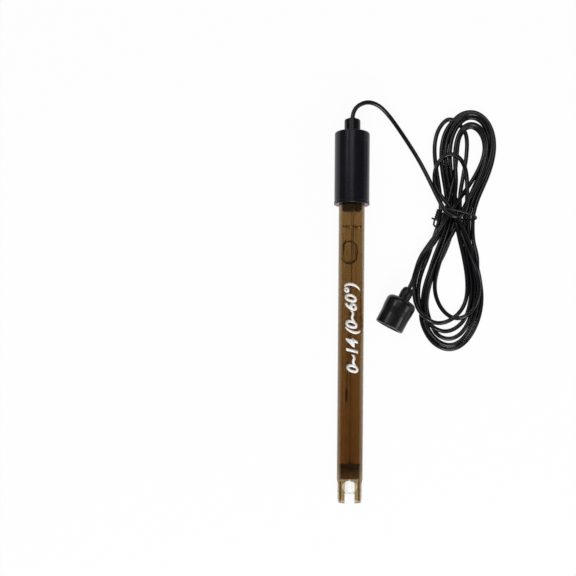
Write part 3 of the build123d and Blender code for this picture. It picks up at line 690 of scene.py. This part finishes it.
class ELECTRODE_OT_tie(bpy.types.Operator):
    """Winds the covered wire round the hank's crossing and twists its ends together"""

    bl_idname = "electrode.tie"
    bl_label = "Tie"

    def execute(self, context):
        look = context.scene.electrode_look
        # A thin wire in a vinyl cover: dull black, with soft highlights on its bends
        made = moulded("vinyl_covered_wire", "#0b0b0d", "#151518", 0.36, 0.3, 0.01, 0.4)
        round_hank = [
            (41.6, 47.4, 2.4), (43.4, 46.2, 1.0), (46.0, 45.2, 0.55), (50.0, 44.5, 0.5),
            (55.0, 44.1, 0.6), (57.6, 44.0, 1.8), (58.3, 44.3, 4.2), (57.6, 44.7, 6.4),
            (55.4, 45.3, 7.9), (51.4, 46.3, 8.6), (47.6, 47.1, 8.7), (44.0, 47.8, 8.0),
            (41.6, 48.2, 6.6),
        ]
        # Both ends run down one twist of two turns, half a turn apart. One ends in a small eye and
        # the other sticks out.
        top, foot = Vector((40.5, 47.9, 4.6)), Vector((39.3, 43.6, 3.0))
        sideways = (foot - top).cross(Vector((0, 0, 1))).normalized()
        upward = sideways.cross(foot - top).normalized()
        radius, steps, sweep = 0.52, 16, 4 * math.pi
        ends = [[
            tuple(top.lerp(foot, share) + (sideways * math.cos(turn) + upward * math.sin(turn)) * radius)
            for share, turn in ((n / steps, start + n / steps * sweep) for n in range(steps + 1))
        ] for start in (0.0, math.pi)]
        eye = [
            (38.6, 42.6, 2.6), (38.4, 41.4, 2.2), (39.2, 40.5, 1.9), (40.4, 40.8, 1.9),
            (40.7, 42.0, 2.2),
        ]
        spike = [(38.3, 43.9, 3.6), (37.4, 44.2, 3.9)]
        route = eye[::-1] + ends[0][::-1] + round_hank + ends[1] + spike
        curve = cord_curve("twist_wire", route, look.tie_diameter)
        strand = bpy.data.objects.new("strand", curve)
        context.scene.collection.objects.link(strand)
        mesh = bpy.data.meshes.new_from_object(strand)
        bpy.data.objects.remove(strand)
        tie = mesh_piece("twist_wire", mesh, made)
        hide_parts("twist_tie")
        return {"FINISHED"}


class ELECTRODE_OT_lead(bpy.types.Operator):
    """Lays the lead from the cap to its hank and on to the plug"""

    bl_idname = "electrode.lead"
    bl_label = "Lead"

    def execute(self, context):
        look = context.scene.electrode_look
        jacket = vinyl_cord(look)
        turns = settle(lay_turns())[::2]
        route = LEAD[:-1] + HOOK[:-1] + [tuple(p) for p in turns] + TAIL
        curve = cord_curve("lead", route, look.cord_diameter)
        curve.materials.append(jacket)
        lead = bpy.data.objects.new("lead", curve)
        context.scene.collection.objects.link(lead)
        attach(lead, "electrode")
        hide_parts("cord_lead", "cord_hank", "cord_tail")
        dress(jacket, "cord_stub", "cord_plug_end")
        return {"FINISHED"}


class ELECTRODE_OT_tube(bpy.types.Operator):
    """Finishes the amber body tube with its slotted guard"""

    bl_idname = "electrode.tube"
    bl_label = "Body tube"

    def execute(self, context):
        dress(polycarbonate_amber(context.scene.electrode_look), "body_tube")
        return {"FINISHED"}


class ELECTRODE_OT_range_mark(bpy.types.Operator):
    """Prints a plain range of numerals along the tube"""

    bl_idname = "electrode.range_mark"
    bl_label = "Range mark"

    def execute(self, context):
        look = context.scene.electrode_look
        words = bpy.data.curves.new("range_mark", "FONT")
        words.body = "0~14 (0~60°)"
        words.size = 1.0
        words.offset = 0.036
        words.shear = 0.22
        words.resolution_u = 6
        letters = bpy.data.objects.new("letters", words)
        context.scene.collection.objects.link(letters)
        mesh = bpy.data.meshes.new_from_object(letters)
        bpy.data.objects.remove(letters)
        bm = bmesh.new()
        bm.from_mesh(mesh)
        bmesh.ops.remove_doubles(bm, verts=bm.verts, dist=1e-5)
        xs = [v.co.x for v in bm.verts]
        ys = [v.co.y for v in bm.verts]
        left, low = min(xs), min(ys)
        wide, tall = max(xs) - left, max(ys) - low
        # Cuts across the letters let them bend round the tube
        for cut in range(1, MARK_CUTS):
            bmesh.ops.bisect_plane(
                bm, geom=bm.verts[:] + bm.edges[:] + bm.faces[:],
                plane_co=(0, low + tall * cut / MARK_CUTS, 0), plane_no=(0, 1, 0),
            )
        length = look.mark_length / MM
        arc = look.mark_height / MM / TUBE_R
        for v in bm.verts:
            height = MARK_START + (v.co.x - left) / wide * length
            # The print runs a little askew: it climbs round the tube from one end to the other
            middle = math.radians(MARK_TURN - MARK_SKEW * (height - MARK_START))
            angle = middle + arc / 2 - v.co.y / NUMERAL_TALL * arc
            front, side = math.cos(angle) * (TUBE_R + INK_GAP), math.sin(angle) * (TUBE_R + INK_GAP)
            v.co = on_electrode(side, front, height) * MM
        bmesh.ops.recalc_face_normals(bm, faces=bm.faces)
        if sum(f.normal.dot(FACING) for f in bm.faces) < 0:
            bmesh.ops.reverse_faces(bm, faces=bm.faces)
        bm.to_mesh(mesh)
        bm.free()
        # Screen-printed ink is an even, matt film with hardly any grain
        made = moulded("ink_screen_printed", look.ink, "#ffffff", 0.55, 0.25, 0.01, 0.3)
        mark = mesh_piece("range_mark", mesh, made)
        film = mark.modifiers.new("film", "SOLIDIFY")
        film.thickness, film.offset = INK_THICK * MM, 1.0
        return {"FINISHED"}


class ELECTRODE_OT_inner_glass(bpy.types.Operator):
    """Finishes the glass stem and bulb with the buffer, wire and element inside them"""

    bl_idname = "electrode.inner_glass"
    bl_label = "Glass stem and bulb"

    def execute(self, context):
        dress(glass_blown("glass_soda_drawn", "#f2efe6"), "glass_stem")
        dress(glass_blown("glass_membrane_blown", "#fefdfa"), "glass_bulb")
        dress(buffer_liquid(), "inner_buffer")
        # Drawn silver wire is pale and soft-bright, with fine lines along it
        dress(metal("silver_wire_drawn", "#e6e2da", "#bcb8b0", 0.5, TIP, ALONG, 0.2, rings=False),
              "inner_wire", "reference_wire")
        # Silver chloride darkens in light to a brown crust that is nearly black
        dress(mottled("silver_chloride_coat", "#080505", "#1a1212", 0.8, 0.25, 0.05),
              "inner_element", "reference_element")
        return {"FINISHED"}


class ELECTRODE_OT_reference(bpy.types.Operator):
    """Finishes the gel, the seals, the junction and the stopper inside the tube"""

    bl_idname = "electrode.reference"
    bl_label = "Reference half"

    def execute(self, context):
        dress(gel_potassium_chloride(), "reference_gel")
        # Cast epoxy sets glossy, with small bubbles caught in it
        dress(mottled("epoxy_amber_cast", "#5c4224", "#93703f", 0.3, 0.6, 0.03), "seal_plug")
        # The seals and the stopper are moulded rubber: matt, with a soft even grain
        dress(moulded("rubber_brown_moulded", "#1c130c", "#2c1f14", 0.55, 0.3, 0.03), "seal_gasket")
        dress(moulded("rubber_black_moulded", "#0e0e10", "#18181b", 0.6, 0.3, 0.03, 0.3),
              "tube_stopper", "cable_grommet")
        # Porous ceramic soaked with the brown gel looks dull and speckled
        dress(mottled("ceramic_porous_soaked", "#54402a", "#806440", 0.75, 0.15, 0.05),
              "junction_wick")
        return {"FINISHED"}


class ELECTRODE_OT_cap(bpy.types.Operator):
    """Finishes the black cap"""

    bl_idname = "electrode.cap"
    bl_label = "Cap"

    def execute(self, context):
        # Moulded from a lightly spark-textured tool, so the black is satin. Its reflections carry a
        # painted violet tint that stands for the cool light of the lamps
        cap = context.scene.electrode_look.cap
        dress(moulded("abs_black_satin", cap, "#0f0f14", 0.27, 0.3, 0.006, 0.35, "#f2f1fc"), "cap")
        return {"FINISHED"}


class ELECTRODE_OT_splice(bpy.types.Operator):
    """Finishes the joint between the wires and the cord inside the cap"""

    bl_idname = "electrode.splice"
    bl_label = "Splice in the cap"

    def execute(self, context):
        # Extruded polyethylene is milky and waxy
        dress(moulded("polyethylene_core", "#d8d6cc", "#ece9df", 0.4, 0.3, 0.01), "cord_core")
        # A shrunk sleeve is dark grey, with the faint wrinkles of what it grips
        dress(moulded("polyolefin_shrunk", "#18181a", "#2a2a2e", 0.5, 0.4, 0.05),
              "core_sleeve", "screen_sleeve")
        # Tinned strands twisted together: dull silver with lines along them
        dress(metal("copper_tinned_twisted", "#d8d4cc", "#8c8880", 0.35, TIP, ALONG, 0.2, rings=False),
              "cord_screen")
        return {"FINISHED"}


class ELECTRODE_OT_plug_grip(bpy.types.Operator):
    """Finishes the plug's moulded grip and its strain relief"""

    bl_idname = "electrode.plug_grip"
    bl_label = "Plug grip"

    def execute(self, context):
        # Moulded from a smooth tool, so the black has broad, soft highlights
        grip = context.scene.electrode_look.grip
        dress(moulded("abs_black_moulded", grip, "#0c0c0e", 0.3, 0.35, 0.008, 0.42), "plug_shell")
        # Soft vinyl moulded over the cord: a little duller than the grip
        dress(moulded("vinyl_soft_moulded", "#0c0c0e", "#141417", 0.36, 0.35, 0.012, 0.35),
              "strain_relief")
        return {"FINISHED"}


class ELECTRODE_OT_plug_metal(bpy.types.Operator):
    """Finishes the plug's metal pieces, its insulator and its gasket"""

    bl_idname = "electrode.plug_metal"
    bl_label = "Plug metal"

    def execute(self, context):
        # Turned brass under nickel, and turned bronze under gold: bright, with the lathe's fine rings
        dress(metal("brass_nickel_plated_turned", "#dcdad2", "#a8a69e", 0.24, PLUG_BACK, PLUG_WAY, 0.15),
              "plug_body", "coupling_ring", "thrust_washer")
        dress(metal("bronze_gold_plated_turned", "#e8c468", "#b8903c", 0.22, PLUG_BACK, PLUG_WAY, 0.1),
              "centre_pin")
        # Fluoropolymer is white and waxy, and moulded silicone rubber is a dull brick red
        dress(moulded("fluoropolymer_turned", "#dedcd6", "#f4f3ee", 0.42, 0.4, 0.01), "insulator")
        dress(moulded("silicone_red_moulded", "#6c2a1e", "#8e3c2c", 0.5, 0.4, 0.02), "plug_gasket")
        return {"FINISHED"}


class ELECTRODE_PT_panel(bpy.types.Panel):
    """Lists the electrode's pieces and its colours and sizes"""

    bl_idname = "ELECTRODE_PT_panel"
    bl_label = "pH Electrode"
    bl_space_type = "VIEW_3D"
    bl_region_type = "UI"
    bl_category = "Electrode"

    def draw(self, context):
        for made in PIECES:
            self.layout.operator(made.bl_idname)
        for name in ElectrodeLook.__annotations__:
            self.layout.prop(context.scene.electrode_look, name)


# The tie and the washer come before the lead
PIECES = (
    ELECTRODE_OT_stage, ELECTRODE_OT_spring, ELECTRODE_OT_tie, ELECTRODE_OT_lead, ELECTRODE_OT_tube,
    ELECTRODE_OT_range_mark, ELECTRODE_OT_inner_glass, ELECTRODE_OT_reference, ELECTRODE_OT_cap,
    ELECTRODE_OT_splice, ELECTRODE_OT_plug_grip, ELECTRODE_OT_plug_metal,
)
CLASSES = (ElectrodeLook, *PIECES, ELECTRODE_PT_panel)


def register():
    """Registers the classes and puts the properties on the scene."""
    for made in CLASSES:
        bpy.utils.register_class(made)
    bpy.types.Scene.electrode_look = bpy.props.PointerProperty(type=ElectrodeLook)


def unregister():
    """Takes the properties and the classes away again."""
    del bpy.types.Scene.electrode_look
    for made in reversed(CLASSES):
        bpy.utils.unregister_class(made)


def main():
    """Builds the stage and the pieces in order."""
    register()
    bpy.context.scene.view_settings.view_transform = "Standard"
    # The tube, the gel, the glass and the buffer lie inside each other, so light crosses many surfaces
    bpy.context.scene.cycles.max_bounces = 32
    bpy.context.scene.cycles.transmission_bounces = 32
    for made in PIECES:
        group, name = made.bl_idname.split(".")
        getattr(getattr(bpy.ops, group), name)()


if __name__ == "__main__":
    main()
